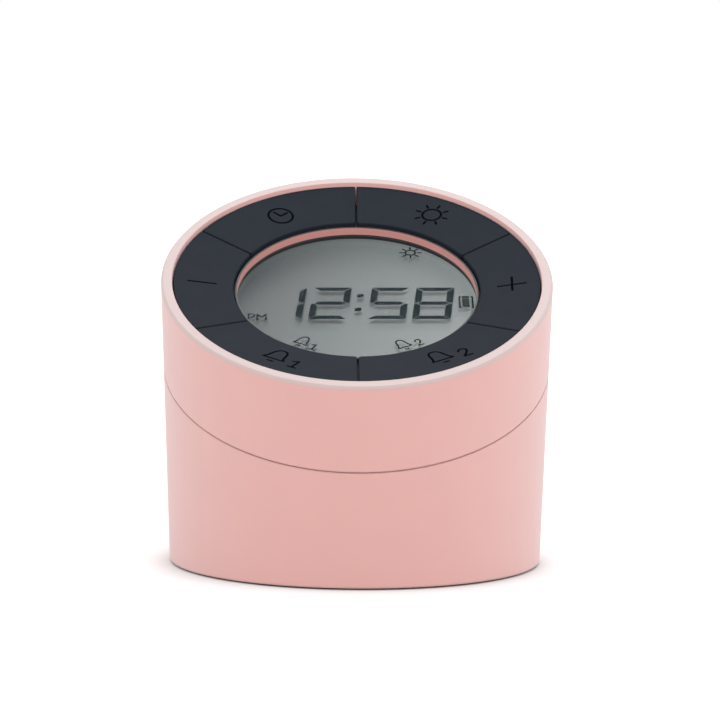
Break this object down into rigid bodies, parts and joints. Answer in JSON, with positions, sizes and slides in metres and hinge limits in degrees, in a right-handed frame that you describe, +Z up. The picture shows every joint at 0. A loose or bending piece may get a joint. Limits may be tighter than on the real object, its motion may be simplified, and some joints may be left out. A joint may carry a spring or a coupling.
{
  "type": "alarm clock",
  "caption": "Slanted-top desk alarm clock: tapered drum, ring of push keys round a reflective display, and an upper half that swivels on a slanted seam.",
  "frame": {"origin": "on the floor, on the axis of the tapered drum", "axes": "+Z up along the drum axis, low front of the slanted face towards -Y, high back towards +Y, +X to the right of someone reading the display"},
  "size_m": [0.09, 0.09, 0.0859],
  "materials": {
    "soft_pink": "soft-touch coating, matte",
    "key_plastic": "fine matte",
    "dark_plastic": "matte",
    "white_plastic": "matte",
    "clear_lens": "polished",
    "lcd_glass": "satin reflective display",
    "diffuser": "milky translucent",
    "board_green": "solder mask",
    "chip_black": "moulded",
    "rubber_black": "matte",
    "grip_rubber": "matte",
    "steel": "plated",
    "cell_wrap": "shrink sleeve",
    "lead_sleeve": "satin",
    "lamp": "lamp lens"
  },
  "bodies": {
    "base": {"lower_housing": "soft_pink", "base_plate": "soft_pink", "foot_ring": "rubber_black", "base_screws": "steel", "battery_cell": "cell_wrap", "battery_cradle": "dark_plastic", "battery_tabs": "steel", "main_board": "board_green", "main_board_parts": "chip_black", "main_board_screws": "steel", "charging_socket": "steel", "sounder": "dark_plastic", "light_diffuser": "diffuser", "light_board": "board_green", "light_leds": "lamp", "glide_ring": "white_plastic", "friction_ring": "grip_rubber", "base_lead": "lead_sleeve"},
    "head": {"upper_housing": "soft_pink", "swivel_spindle": "white_plastic", "spindle_screws": "steel", "swivel_washer": "steel", "washer_screws": "steel", "key_frame": "dark_plastic", "frame_screws": "steel", "inner_collar": "soft_pink", "display_gasket": "rubber_black", "display_lens": "clear_lens", "lcd_panel": "lcd_glass", "lcd_backlight": "white_plastic", "lcd_connector": "grip_rubber", "lcd_holder": "white_plastic", "head_board": "board_green", "head_board_screws": "steel", "head_driver": "chip_black", "switch_bodies": "dark_plastic", "head_lead": "lead_sleeve"},
    "key_clock": {"key_clock": "key_plastic", "plunger_clock": "white_plastic"},
    "key_light": {"key_light": "key_plastic", "plunger_light": "white_plastic"},
    "key_plus": {"key_plus": "key_plastic", "plunger_plus": "white_plastic"},
    "key_alarm_2": {"key_alarm_2": "key_plastic", "plunger_alarm_2": "white_plastic"},
    "key_alarm_1": {"key_alarm_1": "key_plastic", "plunger_alarm_1": "white_plastic"},
    "key_minus": {"key_minus": "key_plastic", "plunger_minus": "white_plastic"}
  },
  "joints": [
    {"name": "head_swivel", "type": "hinge", "parent": "base", "child": "head", "pos_m": [0, 0.00073, 0.0463], "axis": [0, -0.4147, 0.91], "range_deg": [-90, 90]},
    {"name": "key_clock_press", "type": "slide", "parent": "head", "child": "key_clock", "axis": [0, 0.4147, -0.91], "range_m": [0, 0.0004], "stiffness_N_per_m": 2400, "springref_m": -0.0002},
    {"name": "key_light_press", "type": "slide", "parent": "head", "child": "key_light", "axis": [0, 0.4147, -0.91], "range_m": [0, 0.0004], "stiffness_N_per_m": 2400, "springref_m": -0.0002},
    {"name": "key_plus_press", "type": "slide", "parent": "head", "child": "key_plus", "axis": [0, 0.4147, -0.91], "range_m": [0, 0.0004], "stiffness_N_per_m": 2400, "springref_m": -0.0002},
    {"name": "key_alarm_2_press", "type": "slide", "parent": "head", "child": "key_alarm_2", "axis": [0, 0.4147, -0.91], "range_m": [0, 0.0004], "stiffness_N_per_m": 2400, "springref_m": -0.0002},
    {"name": "key_alarm_1_press", "type": "slide", "parent": "head", "child": "key_alarm_1", "axis": [0, 0.4147, -0.91], "range_m": [0, 0.0004], "stiffness_N_per_m": 2400, "springref_m": -0.0002},
    {"name": "key_minus_press", "type": "slide", "parent": "head", "child": "key_minus", "axis": [0, 0.4147, -0.91], "range_m": [0, 0.0004], "stiffness_N_per_m": 2400, "springref_m": -0.0002}
  ]
}
